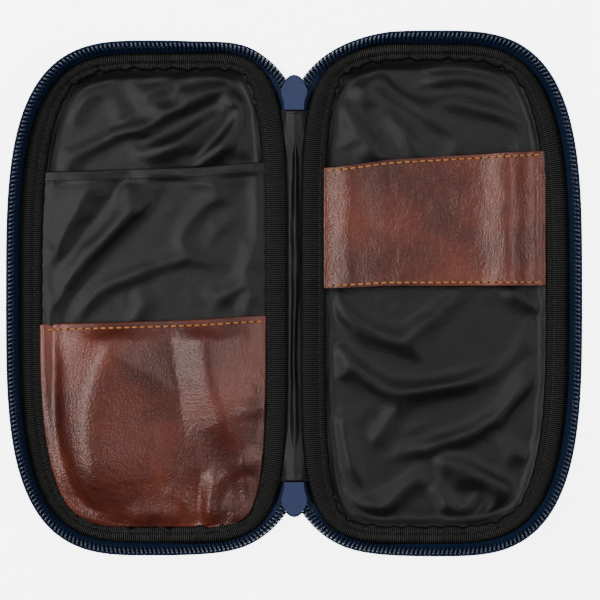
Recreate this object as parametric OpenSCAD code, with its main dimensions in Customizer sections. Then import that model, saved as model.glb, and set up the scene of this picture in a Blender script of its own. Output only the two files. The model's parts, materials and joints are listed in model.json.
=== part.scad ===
/* [Case] */
// Distance from the spine's centre line to the outermost edge of one half's seam
half_reach = 125; // [115:1:135]
// Half the length of the seam, along the spine
seam_half_length = 113.4; // [105:0.2:120]
// Roundness of the outer corners: 2 is an ellipse, larger is squarer
outer_exponent = 3.4; // [3:0.1:4.5]
// Roundness of the corners beside the spine
inner_exponent = 5; // [4.5:0.1:6]
// Height of the seam above the table, which is also the height of the fold lines
seam_z = 5; // [4.9:0.05:5.1]

/* [Spine] */
// Distance from the centre line to each fold line
fold_x = 13.5; // [13:0.1:14]
// Half the length of the spine strip between the two zip ends
spine_half_length = 79; // [76:0.5:80]
// Width of the bound seam that lies along each side of the spine
spine_binding_w = 8.7; // [7:0.1:8.7]

/* [Panels] */
// Thickness of the outer cloth
cover_t = 0.9; // [0.7:0.1:0.9]
// Thickness of the foam board
foam_t = 2; // [1.6:0.1:2]
// Thickness of the lining cloth
lining_t = 0.4; // [0.3:0.05:0.4]

/* [Zip] */
// Width of the zip tape between the seam and its free edge
tape_w = 13; // [12:0.1:13]
// Thickness of the zip tape
tape_t = 0.6; // [0.5:0.05:0.6]
// Outward lean of the standing tape, in degrees
tape_lean = 4; // [0:1:5]
// Half the width of one coil, along the tape
coil_half_w = 1.4; // [1.2:0.05:1.4]
// Half the height of one coil, away from the tape
coil_half_h = 1; // [0.8:0.05:1]

/* [Slider] */
// Length of the slider's shield-shaped plates
slider_length = 14.3; // [14:0.1:14.6]
// Width of the slider at its shoulders
slider_w = 11.5; // [11:0.1:12]
// Width of the slider at its rear end
slider_rear_w = 8.6; // [8.4:0.1:8.8]
// Length of the pull tab from its crossbar to its tip
pull_length = 22; // [18:0.5:22]

/* [Pockets] */
// Where the mouth of the cloth slip pocket lies along the spine
slip_mouth_y = 58; // [50:1:60]
// Where the mouth of the leather pocket lies along the spine
leather_mouth_y = -10.5; // [-20:0.5:-8]
// Lower edge of the leather band
band_low_y = 3.3; // [0:0.1:8]
// Upper edge of the leather band beside the spine
band_high_y = 57; // [50:0.5:60]
// Thickness of the leather
leather_t = 1.2; // [1:0.1:1.2]
// Spacing of the stitches
stitch_pitch = 3.4; // [3:0.1:4]

/* [Hidden] */

navy = [0.09, 0.13, 0.24];
coil_navy = [0.13, 0.18, 0.30];
slider_navy = [0.29, 0.34, 0.47];
black_cloth = [0.10, 0.10, 0.10];
foam_grey = [0.35, 0.35, 0.36];
brown = [0.40, 0.20, 0.14];
tan_thread = [0.72, 0.42, 0.20];

// The seam of the right half is a rounded oblong that is squarer beside the spine
fold_gap = 1.4;
seam_near_x = fold_x + fold_gap;
seam_centre_x = (half_reach + seam_near_x) / 2;
seam_half_w = (half_reach - seam_near_x) / 2;
around = 64;

// The well is the part of the floor that shows inside the bound seams, and the seat is where
// the pockets' edges end under the binding
binding_w = 10;
well_near_x = seam_near_x + 3;
well_far_x = half_reach - binding_w;
seat_near_x = seam_near_x + 2;
seat_far_x = half_reach - 4;

// Heights of the layers
foam_z = cover_t;
floor_z = foam_z + foam_t;
lining_top_z = floor_z + lining_t;
slip_z = 7.6;
slip_t = 0.5;
leather_z = 12.8;
leather_top_z = leather_z + leather_t;
band_z = 8.2;
binding_under_z = 6.3;
tape_z = seam_z + 0.05;

// The tape stands up round the rim and lies flat beside each slider
upright_angle = 105;
flat_angle = 133;
flat_tape_w = 9;
coil_inset = 1.2;
coil_gap = 0.15;

// The slider's place and its plates
slider_rear_y = 82.5;
slider_nose_y = slider_rear_y + slider_length;
slider_shoulder_y = slider_nose_y - 6.3;
lower_plate_z = 3.6;
upper_plate_z = 7.9;
plate_t = 1.2;
nose_cap = 1.5;
bar_z = 2.6;
bar_y = 90;
bar_r = 0.65;
pull_dip = 5;

// A point of a rounded oblong at an angle, its outward normal, and the same point moved inwards
function oblong(a, hw, hl) =
    let (c = cos(a), s = sin(a), n = c > 0 ? outer_exponent : inner_exponent)
    [hw * sign(c) * pow(abs(c), 2 / n), hl * sign(s) * pow(abs(s), 2 / n)];
function oblong_normal(a, hw, hl) =
    let (p = oblong(a, hw, hl), n = cos(a) > 0 ? outer_exponent : inner_exponent,
         g = [sign(p.x) * pow(abs(p.x / hw), n - 1) / hw, sign(p.y) * pow(abs(p.y / hl), n - 1) / hl])
    g / norm(g);
function moved_in(a, cx, hw, hl, d) = [cx, 0] + oblong(a, hw, hl) - d * oblong_normal(a, hw, hl);

function seam(a, d) = moved_in(a, seam_centre_x, seam_half_w, seam_half_length, d);
function between(a, near, far, hl, d) = moved_in(a, (near + far) / 2, (far - near) / 2, hl, d);
function well(a, d) = between(a, well_near_x, well_far_x, seam_half_length - binding_w, d);
function seat(a) = between(a, seat_near_x, seat_far_x, seam_half_length - 4, 0);
function lifted(p, z) = [p.x, p.y, z];
function angles() = [for (i = [0 : around - 1]) 360 * i / around];

// A closed ring of the seam, the well or the seat at one height
function seam_ring(d, z) = [for (a = angles()) lifted(seam(a, d), z)];
function well_ring(d, z) = [for (a = angles()) lifted(well(a, d), z)];
function seat_ring(z) = [for (a = angles()) lifted(seat(a), z)];

// A solid through a list of rings of equal length, with its two ends capped
module skin(rings) {
    m = len(rings[0]);
    last = (len(rings) - 1) * m;
    polyhedron(
        points = [for (r = rings) each r],
        faces = [
            [for (i = [0 : m - 1]) i],
            [for (i = [m - 1 : -1 : 0]) last + i],
            for (k = [0 : len(rings) - 2], i = [0 : m - 1], half = [0, 1])
                let (j = (i + 1) % m, low = k * m, high = low + m)
                half == 0 ? [low + i, high + i, high + j] : [low + i, high + j, low + j]
        ],
        convexity = 6);
}

// Lean of the tape from upright at an angle of the seam, and the tape's width there
function turn_share(a) = max(0, min(1, (abs(a) - upright_angle) / (flat_angle - upright_angle)));
function smooth(t) = t * t * (3 - 2 * t);
function lean(a) = tape_lean + (90 - tape_lean) * smooth(turn_share(a));
function width_at(a) = tape_w + (flat_tape_w - tape_w) * smooth(turn_share(a));

// A point of the tape's cross-section: along it from the seam, and off its inner face
function tape_point(a, along, off) =
    let (b = seam(a, 0), n = oblong_normal(a, seam_half_w, seam_half_length),
         out = along * sin(lean(a)) - off * cos(lean(a)),
         up = along * cos(lean(a)) + off * sin(lean(a)))
    [b.x + out * n.x, b.y + out * n.y, tape_z + up];

// The tape's and the coil's stations run from one end of the standing tape to the other
function stations() =
    [-flat_angle, for (a = angles()) let (b = a - 180) if (abs(b) < flat_angle - 1) b, flat_angle];
function tape_section(a) =
    [tape_point(a, 0, 0), tape_point(a, 0, tape_t), tape_point(a, width_at(a), tape_t),
     tape_point(a, width_at(a), 0)];
function coil_section(a) =
    [for (q = [0 : 45 : 315])
        tape_point(a, width_at(a) - coil_inset + coil_half_w * cos(q),
                   tape_t + coil_gap + coil_half_h - coil_half_h * sin(q))];

// The half's own pieces, drawn for the right half
module half_cover() {
    color(navy) skin([
        seam_ring(5.7, cover_t), seam_ring(2.9, 1.6), seam_ring(1.35, 3.1), seam_ring(0.9, seam_z),
        seam_ring(0, seam_z), seam_ring(0.5, 2.7), seam_ring(2.2, 0.8), seam_ring(5.5, 0)
    ]);
}

module half_foam() {
    color(foam_grey) translate([0, 0, foam_z]) linear_extrude(foam_t)
        polygon([for (a = angles()) seam(a, 6)]);
}

module half_lining() {
    color(black_cloth) skin([
        seam_ring(5.7, lining_top_z), seam_ring(2.9, 4.0), seam_ring(1.75, seam_z - 0.05),
        seam_ring(1.3, seam_z - 0.05), seam_ring(2.5, 3.6), seam_ring(5.6, floor_z)
    ]);
}

// The folded tape that binds the raw edges, from one end beside the spine to the other
module half_binding() {
    profile = [
        [0.9, 5.7], [1.5, 7.6], [4, 8.6], [7, 8.4],
        [9.7, 7.6], [10, 6.8], [9.4, 6.4], [3, binding_under_z]
    ];
    ends = 140;
    bound = [-ends, for (a = angles()) let (b = a - 180) if (abs(b) < ends - 1) b, ends];
    color(black_cloth) skin([for (a = bound) [for (p = profile) lifted(seam(a, p.x), p.y)]]);
}

module half_zip_tape() {
    color(navy) skin([for (a = stations()) tape_section(a)]);
}

module half_zip_coil() {
    color(coil_navy) skin([for (a = stations()) coil_section(a)]);
}

// A cube that keeps one side of the line y = at
module below(at) {
    translate([0, at - 200, -1]) cube([150, 200, 40]);
}

module slip_pocket() {
    color(black_cloth) intersection() {
        skin([
            well_ring(3.4, slip_z), well_ring(1.7, seam_z + 0.1), seat_ring(seam_z), seat_ring(seam_z + 0.5),
            well_ring(1.2, seam_z + 0.55), well_ring(3, slip_z + slip_t)
        ]);
        below(slip_mouth_y);
    }
}

module leather_pocket() {
    color(brown) intersection() {
        skin([
            well_ring(2.6, leather_z), well_ring(1.2, 9.5), well_ring(0.8, 5.75), seat_ring(5.65),
            seat_ring(6.2), well_ring(0.15, 6.25), well_ring(0.2, 9.5), well_ring(1.6, leather_top_z - 0.4),
            well_ring(3.4, leather_top_z)
        ]);
        below(leather_mouth_y);
    }
}

// One row of separate stitches along X
module stitch_row(x0, x1, y, z, slope = 0) {
    stitch = [stitch_pitch * 0.7, 0.6, 0.3];
    for (x = [x0 : stitch_pitch : x1 - stitch.x])
        translate([x, y + slope * (x - x0), z]) cube(stitch);
}

module slip_pocket_thread() {
    color(black_cloth) stitch_row(22, 110, slip_mouth_y - 3, slip_z + slip_t);
}

module leather_pocket_thread() {
    color(tan_thread) stitch_row(22, 110, leather_mouth_y - 3, leather_top_z);
}

// The band is one strip of leather held in the seams at both ends, and it widens away from the spine
band_slope = 5 / 95;
band_near_x = 20.5;
band_far_x = 109.2;
band_seat_x = band_far_x + 2.3;
module leather_band() {
    band_top_z = band_z + leather_t;
    strip = [
        [17.2, 5.2], [18.6, 5.2], [band_near_x, band_z], [band_far_x, band_z],
        [band_seat_x, 5.6], [118, 5.6], [118, 6.15], [band_seat_x + 0.6, 6.15],
        [band_far_x + 0.9, band_top_z], [band_near_x - 0.8, band_top_z], [17.8, 5.9], [17.2, 5.9]
    ];
    near = 10;
    far = 130;
    color(brown) intersection() {
        translate([0, 80, 0]) rotate([90, 0, 0]) linear_extrude(80) polygon(strip);
        linear_extrude(20) polygon([
            [near, band_low_y], [far, band_low_y], [far, band_high_y + band_slope * (far - 15)],
            [near, band_high_y + band_slope * (near - 15)]
        ]);
    }
}

module leather_band_thread() {
    color(tan_thread) {
        stitch_row(band_near_x + 0.5, band_far_x, band_low_y + 2.2, band_z + leather_t);
        stitch_row(band_near_x + 0.5, band_far_x, band_high_y - 3, band_z + leather_t, band_slope);
    }
}

// The spine strip: the cloth's long edges turn over in a round roll on each fold line
roll_r = 0.9;
strip_half_w = fold_x - roll_r - 0.2;
module spine_cover() {
    color(navy) {
        translate([-fold_x, -spine_half_length, seam_z - 1]) cube([2 * fold_x, 2 * spine_half_length, 0.8]);
        for (side = [-1, 1])
            translate([side * fold_x, spine_half_length, seam_z]) rotate([90, 0, 0])
                cylinder(h = 2 * spine_half_length, r = roll_r, $fn = 32);
    }
}

module spine_layer(z, t) {
    translate([-strip_half_w, -spine_half_length, z]) cube([2 * strip_half_w, 2 * spine_half_length, t]);
}

module spine_foam() {
    color(foam_grey) spine_layer(seam_z - 0.2, 0.6);
}

module spine_lining() {
    color(black_cloth) spine_layer(seam_z + 0.4, lining_t);
}

// The bound seam allowance lies on the strip and splays round the slider at both ends
module spine_binding() {
    far = fold_x - 0.2;
    near = far - spine_binding_w;
    reach = 92;
    straight = 70;
    color(black_cloth) translate([0, 0, seam_z + 0.95]) linear_extrude(1.65) polygon([
        [near, -straight], [near + 3, -reach], [far, -reach],
        [far, reach], [near + 3, reach], [near, straight]
    ]);
}

// The zip's end at the top of the spine: two flat legs of tape that meet behind the slider
joined_x = 1.5;
joined_y = 88;
leg_steps = 8;
function leg_end() = let (p = tape_point(flat_angle + 1.5, flat_tape_w - coil_inset, 0)) [p.x, p.y];
function leg_end_before() =
    let (p = tape_point(flat_angle, flat_tape_w - coil_inset, 0), q = leg_end()) q + 7 * (q - [p.x, p.y]);
function bezier(t, a, b, c, d) =
    pow(1 - t, 3) * a + 3 * t * pow(1 - t, 2) * b + 3 * t * t * (1 - t) * c + pow(t, 3) * d;
function leg(t) = bezier(t, [joined_x, joined_y], [joined_x, joined_y + 4], leg_end_before(), leg_end());
function leg_side(t) =
    let (d = leg(min(1, t + 0.01)) - leg(max(0, t - 0.01))) [-d.y, d.x] / norm(d);

module zip_leg() {
    inner = [[0.1, spine_half_length + 0.3], [0.1, joined_y - 1],
             for (i = [1 : leg_steps]) leg(i / leg_steps) + 1.1 * leg_side(i / leg_steps)];
    outer = [for (a = [flat_angle + 1.8 : 4 : 160]) seam(a, -0.4)];
    translate([0, 0, tape_z]) linear_extrude(tape_t)
        polygon([each inner, each outer, [fold_x + 0.9, spine_half_length + 0.3]]);
}

module leg_coil() {
    path = [[joined_x, slider_rear_y - 1.1], for (i = [0 : leg_steps]) leg(i / leg_steps)];
    side = [[-1, 0], for (i = [0 : leg_steps]) leg_side(i / leg_steps)];
    skin([for (k = [0 : len(path) - 1])
        [for (q = [0 : 45 : 315])
            lifted(path[k] - coil_half_w * cos(q) * side[k],
                   tape_z + tape_t + 0.02 + coil_half_h - coil_half_h * sin(q))]]);
}

module both_sides() {
    children();
    mirror([1, 0, 0]) children();
}

module zip_fork() {
    color(navy) both_sides() zip_leg();
}

module fork_coil() {
    color(coil_navy) both_sides() leg_coil();
}

module zip_stop() {
    color(slider_navy) translate([-3, spine_half_length + 0.5, tape_z + tape_t]) cube([6, 1.8, 1.9]);
}

// The shield outline of the slider's plates, whose nose is lengthened by an extra amount
module shield(extra = 0) {
    shoulder = slider_w / 2;
    rear = slider_rear_w / 2;
    widest_y = slider_shoulder_y - 0.8;
    curve = [for (t = [1 : -0.25 : 0])
        bezier(t, [shoulder, widest_y], [shoulder - 0.6, widest_y - 2.2],
               [rear, widest_y - 2.8], [rear, slider_rear_y])];
    nose = slider_nose_y + extra - widest_y;
    cap = [for (q = [10 : 10 : 90]) [shoulder * cos(q), widest_y + nose * sin(q)]];
    right = [each curve, each cap];
    polygon([each right, for (i = [len(right) - 2 : -1 : 0]) [-right[i].x, right[i].y]]);
}

module slider_body() {
    slot_low = tape_z - 0.15;
    slot_high = tape_z + tape_t + 0.15;
    lip_w = 0.9;
    lip_length = 5.6;
    color(slider_navy) {
        translate([0, 0, lower_plate_z]) linear_extrude(plate_t) shield(nose_cap);
        translate([0, 0, upper_plate_z]) linear_extrude(plate_t - 0.1) shield();
        translate([0, 0, lower_plate_z + plate_t - 0.1])
            linear_extrude(upper_plate_z - lower_plate_z - plate_t + 0.2)
                polygon([[0, slider_nose_y - 0.6], [1.2, slider_nose_y - 2.6], [0, slider_nose_y - 6],
                         [-1.2, slider_nose_y - 2.6]]);
        for (side = [-1, 1])
            translate([side * (slider_rear_w / 2 - lip_w / 2), slider_rear_y + lip_length / 2, 0]) {
                translate([-lip_w / 2, -lip_length / 2, slot_high])
                    cube([lip_w, lip_length, upper_plate_z - slot_high + 0.1]);
                translate([-lip_w / 2, -lip_length / 2, lower_plate_z + plate_t - 0.1])
                    cube([lip_w, lip_length, slot_low - lower_plate_z - plate_t + 0.1]);
            }
    }
}

// The bail that holds the pull tab against the outer plate
module slider_bridge() {
    low = 0.7;
    reach = 4.5;
    color(slider_navy) difference() {
        translate([-1.4, bar_y - reach, low]) cube([2.8, 2 * reach, lower_plate_z - low]);
        translate([-2, bar_y - reach + 1.4, low + 0.95]) cube([4, 2 * reach - 2.8, 5]);
    }
}

// The tab points towards the middle of the spine, and its crossbar lies in the bail
module pull_tab() {
    t = 1.1;
    half_w = 4;
    arm_w = 1.5;
    eye = 6;
    color(slider_navy) translate([0, bar_y, bar_z]) rotate([pull_dip, 0, 0]) {
        translate([-half_w + 0.5, 0, 0]) rotate([0, 90, 0]) cylinder(h = 2 * half_w - 1, r = bar_r, $fn = 24);
        for (side = [-1, 1])
            translate([side * (half_w - 0.5 - arm_w / 2) - arm_w / 2, -eye - 0.5, -t / 2])
                cube([arm_w, eye + 0.5, t]);
        translate([0, 0, -t / 2]) linear_extrude(t) polygon([
            [-half_w + 0.5, -eye], [-half_w, -eye - 1],
            [-half_w, -pull_length + 2], [-half_w + 2, -pull_length],
            [half_w - 2, -pull_length], [half_w, -pull_length + 2],
            [half_w, -eye - 1], [half_w - 0.5, -eye]
        ]);
    }
}

module left() {
    mirror([1, 0, 0]) children();
}

module at_bottom() {
    mirror([0, 1, 0]) children();
}

left() half_cover();  // left_cover
left() half_foam();  // left_foam
left() half_lining();  // left_lining
left() half_binding();  // left_binding
left() half_zip_tape();  // left_zip_tape
left() half_zip_coil();  // left_zip_coil
left() slip_pocket();  // left_slip_pocket
left() slip_pocket_thread();  // left_slip_pocket_thread
left() leather_pocket();  // left_leather_pocket
left() leather_pocket_thread();  // left_pocket_thread
half_cover();  // right_cover
half_foam();  // right_foam
half_lining();  // right_lining
half_binding();  // right_binding
half_zip_tape();  // right_zip_tape
half_zip_coil();  // right_zip_coil
leather_band();  // right_leather_band
leather_band_thread();  // right_band_thread
spine_cover();
spine_foam();
spine_lining();
left() spine_binding();  // spine_binding_left
spine_binding();  // spine_binding_right
zip_fork();  // top_zip_fork
fork_coil();  // top_fork_coil
zip_stop();  // top_zip_stop
slider_body();  // top_slider
slider_bridge();  // top_slider_bridge
pull_tab();  // top_pull_tab
at_bottom() zip_fork();  // bottom_zip_fork
at_bottom() fork_coil();  // bottom_fork_coil
at_bottom() zip_stop();  // bottom_zip_stop
at_bottom() slider_body();  // bottom_slider
at_bottom() slider_bridge();  // bottom_slider_bridge
at_bottom() pull_tab();  // bottom_pull_tab
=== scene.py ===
"""A travel document organizer lying open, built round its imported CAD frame."""

import json
import math
import random

import bpy
import numpy as np
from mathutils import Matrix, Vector, noise


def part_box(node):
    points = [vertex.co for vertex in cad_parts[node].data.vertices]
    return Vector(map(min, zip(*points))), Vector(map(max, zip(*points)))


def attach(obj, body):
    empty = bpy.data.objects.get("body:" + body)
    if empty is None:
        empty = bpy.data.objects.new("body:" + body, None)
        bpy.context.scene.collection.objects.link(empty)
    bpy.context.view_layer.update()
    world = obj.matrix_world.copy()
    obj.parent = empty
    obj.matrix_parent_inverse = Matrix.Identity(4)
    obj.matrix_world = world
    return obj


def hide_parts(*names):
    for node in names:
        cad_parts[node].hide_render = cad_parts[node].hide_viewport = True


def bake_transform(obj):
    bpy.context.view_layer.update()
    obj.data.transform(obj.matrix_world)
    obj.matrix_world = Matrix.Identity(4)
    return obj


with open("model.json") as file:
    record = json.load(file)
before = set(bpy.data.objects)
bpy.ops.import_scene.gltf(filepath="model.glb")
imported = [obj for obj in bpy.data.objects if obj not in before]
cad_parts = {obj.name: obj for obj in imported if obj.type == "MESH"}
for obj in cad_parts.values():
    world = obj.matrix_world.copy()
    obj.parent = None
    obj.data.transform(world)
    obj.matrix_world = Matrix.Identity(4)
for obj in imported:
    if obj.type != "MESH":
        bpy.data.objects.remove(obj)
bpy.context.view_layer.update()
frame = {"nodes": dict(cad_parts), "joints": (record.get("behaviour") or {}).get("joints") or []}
random.seed(7)

MM = 0.001
LEFT, RIGHT = -1, 1
SIDE = {LEFT: "left", RIGHT: "right"}


def box_mm(node):
    """The lowest and highest corner of a CAD node, in millimetres."""
    low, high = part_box(node)
    return np.array(low) / MM, np.array(high) / MM


# Everything below is in millimetres on the right half, until place() moves it.
cover_low, cover_high = box_mm("right_cover")
slip_low, slip_high = box_mm("left_slip_pocket")
leather_high = box_mm("left_leather_pocket")[1]
band_low, band_high = box_mm("right_leather_band")
spine_high = box_mm("spine_cover")[1]
slider_low, slider_high = box_mm("top_slider")

FOLD_X = next(j["pos_m"][0] for j in frame["joints"] if j["name"] == "right_fold") / MM
# Height of the lining on its foam, and of the seam's inner edge
FLOOR_Z = 3.4
RIM_Z = 8.0
# How square the outline's corners are on its far and its near side
FAR_POWER, NEAR_POWER = 3.4, 5.0

# The bound seam is a loop round each half. Its near run lies on the spine.
LOOP_NEAR = 3.1
LOOP_FAR = cover_high[0] - 2.8
LOOP_HALF = cover_high[1] - 3.9
# The binding's width, and how far in its stitched groove is
BINDING_W = 10.7
GROOVE = 7.1

# How far each half is longer than its CAD outline, and how far it lies off centre
STRETCH = {LEFT: 0.993, RIGHT: 1.014}
SHIFT = {LEFT: -0.9, RIGHT: 1.1}


def smooth(t):
    """Runs smoothly from 0 to 1 as t does."""
    t = np.clip(t, 0.0, 1.0)
    return t * t * (3 - 2 * t)


def place(points, side):
    """Points of the right half moved onto the half on that side, in metres."""
    p = np.array(points, float).reshape(-1, 3)
    away = smooth((p[:, 0] - 16) / 30)
    p[:, 1] = p[:, 1] * (1 + away * (STRETCH[side] - 1)) + away * SHIFT[side]
    p[:, 0] *= side
    return p * MM


def make(name, points, faces, material):
    """A smooth mesh object from points in metres."""
    mesh = bpy.data.meshes.new(name)
    mesh.from_pydata(np.asarray(points).tolist(), [], [list(f) for f in faces])
    mesh.validate()
    mesh.polygons.foreach_set("use_smooth", [True] * len(mesh.polygons))
    piece = bpy.data.objects.new(name, mesh)
    bpy.context.collection.objects.link(piece)
    mesh.materials.append(material)
    return piece


def grid_faces(rows, columns, flip=False, round_rows=False, round_columns=False):
    """The quads of a grid of points that is stored row by row."""
    faces = []
    for r in range(rows if round_rows else rows - 1):
        for c in range(columns if round_columns else columns - 1):
            a, b = r * columns + c, r * columns + (c + 1) % columns
            d, e = ((r + 1) % rows) * columns + c, ((r + 1) % rows) * columns + (c + 1) % columns
            faces.append((a, d, e, b) if flip else (a, b, e, d))
    return faces


def thicken(piece, thickness, offset=-1.0):
    """Gives a sheet its thickness, in millimetres."""
    solid = piece.modifiers.new("thickness", "SOLIDIFY")
    solid.thickness = thickness * MM
    solid.offset = offset
    return piece


def bends(piece):
    """Bakes the piece's placement into its mesh."""
    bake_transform(piece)
    return piece


# ---------------------------------------------------------------- outlines

def outline(near, far, half, step, count=None):
    """Points about step apart round an outline, anticlockwise from its far side, with
    the outward normal at each."""
    angles = np.linspace(0, 2 * math.pi, 6000, endpoint=False)
    c, s = np.cos(angles), np.sin(angles)
    power = np.where(c > 0, FAR_POWER, NEAR_POWER)
    x = (near + far) / 2 + (far - near) / 2 * np.sign(c) * np.abs(c) ** (2 / power)
    y = half * np.sign(s) * np.abs(s) ** (2 / power)
    dense = np.stack([x, y], 1)
    lengths = np.linalg.norm(np.roll(dense, -1, 0) - dense, axis=1)
    run = np.concatenate([[0], np.cumsum(lengths)])
    count = count or int(round(run[-1] / step))
    at = np.arange(count) * run[-1] / count
    closed = np.vstack([dense, dense[:1]])
    points = np.stack([np.interp(at, run, closed[:, k]) for k in (0, 1)], 1)
    tangent = np.roll(points, -1, 0) - np.roll(points, 1, 0)
    tangent /= np.linalg.norm(tangent, axis=1, keepdims=True)
    return points, np.stack([tangent[:, 1], -tangent[:, 0]], 1)


def narrowing(normals):
    """The binding is narrower along the ends and in the corners than along the sides."""
    across, along = np.abs(normals[:, 0]), np.abs(normals[:, 1])
    return 1 - 0.27 * along ** 1.5 - 0.10 * (2 * across * along) ** 2


def inset_loop(inset):
    """The line that runs a distance inside the bound seam."""
    path, normals = outline(LOOP_NEAR, LOOP_FAR, LOOP_HALF, 0.6)
    return path - normals * (inset * narrowing(normals))[:, None]


def edge_x(y, which):
    """Where the edge of the well is at height y, on its near or its far side."""
    middle = (WELL_EDGE[:, 0].min() + WELL_EDGE[:, 0].max()) / 2
    chosen = WELL_EDGE[:, 0] < middle if which == "near" else WELL_EDGE[:, 0] >= middle
    side = WELL_EDGE[chosen]
    side = side[np.argsort(side[:, 1])]
    return np.interp(y, side[:, 1], side[:, 0])


def inside(x, y):
    """How far a point is inside the edge of the well."""
    return np.hypot(x[..., None] - WELL_EDGE[:, 0], y[..., None] - WELL_EDGE[:, 1]).min(-1)


def near_spine(x):
    """1 where a ring lies on the spine, and 0 on the outer run."""
    return 1 - smooth((x - 9) / 22)


# ---------------------------------------------------------------- materials

def shader(name, color, roughness, **sockets):
    """A new material and a helper that adds nodes to it."""
    material = bpy.data.materials.new(name)
    material.use_nodes = True
    nodes, links = material.node_tree.nodes, material.node_tree.links
    surface = nodes["Principled BSDF"]
    surface.inputs["Base Color"].default_value = (*color, 1)
    surface.inputs["Roughness"].default_value = roughness
    for key, value in sockets.items():
        surface.inputs[key.replace("_", " ")].default_value = value

    def add(kind, links_in=None, **settings):
        node = nodes.new(kind)
        for key, value in settings.items():
            if key in node.inputs:
                node.inputs[key].default_value = value
            else:
                setattr(node, key, value)
        for key, source in (links_in or {}).items():
            links.new(source, node.inputs[key])
        return node

    where = add("ShaderNodeTexCoord").outputs["Object"]
    return material, surface, add, links, where


def tint(add, links, surface, source, low, high, start=0.3, end=0.7):
    """The colour runs from low to high as a texture runs from start to end."""
    ramp = add("ShaderNodeValToRGB", {"Fac": source})
    ramp.color_ramp.elements[0].position = start
    ramp.color_ramp.elements[1].position = end
    ramp.color_ramp.elements[0].color = (*low, 1)
    ramp.color_ramp.elements[1].color = (*high, 1)
    links.new(ramp.outputs["Color"], surface.inputs["Base Color"])
    return ramp


def bumps(add, links, surface, layers):
    """Bump from several textures: (height, distance in mm, strength)."""
    normal = None
    for height, distance, strength in layers:
        node = add("ShaderNodeBump", {"Height": height}, Strength=strength, Distance=distance * MM)
        if normal:
            links.new(normal, node.inputs["Normal"])
        normal = node.outputs["Normal"]
    links.new(normal, surface.inputs["Normal"])
    links.new(normal, surface.inputs["Coat Normal"])


def cloth(name, low, high, roughness, pitch, depth=0.06, angle=45, grain=0.12, **sockets):
    """Woven cloth: two sets of fine ribs of that pitch in mm, with soft changes of colour."""
    material, surface, add, links, where = shader(name, low, roughness, **sockets)
    turn = add("ShaderNodeMapping", {"Vector": where}, Rotation=(0, 0, math.radians(angle)))
    weave = add("ShaderNodeTexWave", {"Vector": turn.outputs["Vector"]},
                Scale=0.05 * math.pi / (pitch * MM) * 2, Distortion=0.4, Detail=1.0)
    cross = add("ShaderNodeMapping", {"Vector": where}, Rotation=(0, 0, math.radians(angle + 90)))
    weft = add("ShaderNodeTexWave", {"Vector": cross.outputs["Vector"]},
               Scale=0.05 * math.pi / (pitch * 0.6 * MM) * 2, Distortion=0.4, Detail=1.0)
    cloudy = add("ShaderNodeTexNoise", {"Vector": where}, Scale=60.0, Detail=8.0, Roughness=0.7)
    tint(add, links, surface, cloudy.outputs["Fac"], low, high)
    glint = add("ShaderNodeTexNoise", {"Vector": where}, Scale=1100.0, Detail=2.0, Roughness=0.6)
    uneven = add("ShaderNodeMapRange", {"Value": glint.outputs["Fac"]})
    uneven.inputs["To Min"].default_value = roughness - 0.13
    uneven.inputs["To Max"].default_value = roughness + 0.15
    links.new(uneven.outputs["Result"], surface.inputs["Roughness"])
    bumps(add, links, surface, [
        (weave.outputs["Fac"], depth, 0.6), (weft.outputs["Fac"], depth * 0.6, 0.5),
        (glint.outputs["Fac"], grain, 0.8)])
    return material


def leather():
    """Glossy brown leather with a fine grain, faint creases and darker clouds."""
    material, surface, add, links, where = shader(
        "brown_leather", (0.1, 0.03, 0.02), 0.38, Coat_Weight=0.15, Coat_Roughness=0.28,
        Specular_IOR_Level=0.55, Specular_Tint=(1.0, 0.73, 0.68, 1.0))
    clouds = add("ShaderNodeTexNoise", {"Vector": where}, Scale=24.0, Detail=7.0, Roughness=0.6,
                 Distortion=0.5)
    tint(add, links, surface, clouds.outputs["Fac"], (0.034, 0.0054, 0.0030),
         (0.116, 0.0225, 0.0115), 0.36, 0.66)
    grain = add("ShaderNodeTexVoronoi", {"Vector": where}, feature="SMOOTH_F1", Scale=1300.0,
                Smoothness=0.5)
    fine = add("ShaderNodeTexNoise", {"Vector": where}, Scale=700.0, Detail=6.0, Roughness=0.7)
    pull = add("ShaderNodeMapping", {"Vector": where}, Rotation=(0, 0, math.radians(-35)),
               Scale=(1, 0.35, 1))
    creases = add("ShaderNodeTexNoise", {"Vector": pull.outputs["Vector"]}, Scale=520.0,
                  Detail=4.0, Roughness=0.6, Distortion=0.8)
    bumps(add, links, surface, [
        (grain.outputs["Distance"], 0.15, 0.8), (fine.outputs["Fac"], 0.20, 0.8),
        (creases.outputs["Fac"], 0.22, 0.8)])
    worn = add("ShaderNodeMapRange", {"Value": fine.outputs["Fac"]})
    worn.inputs["To Min"].default_value = 0.29
    worn.inputs["To Max"].default_value = 0.41
    links.new(worn.outputs["Result"], surface.inputs["Roughness"])
    return material


def plain(name, low, high, roughness, scale=900.0, depth=0.03, **sockets):
    """A smooth material with a fine mottle."""
    material, surface, add, links, where = shader(name, low, roughness, **sockets)
    mottle = add("ShaderNodeTexNoise", {"Vector": where}, Scale=scale, Detail=4.0)
    tint(add, links, surface, mottle.outputs["Fac"], low, high, 0.35, 0.65)
    bumps(add, links, surface, [(mottle.outputs["Fac"], depth, 0.4)])
    return material


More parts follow.
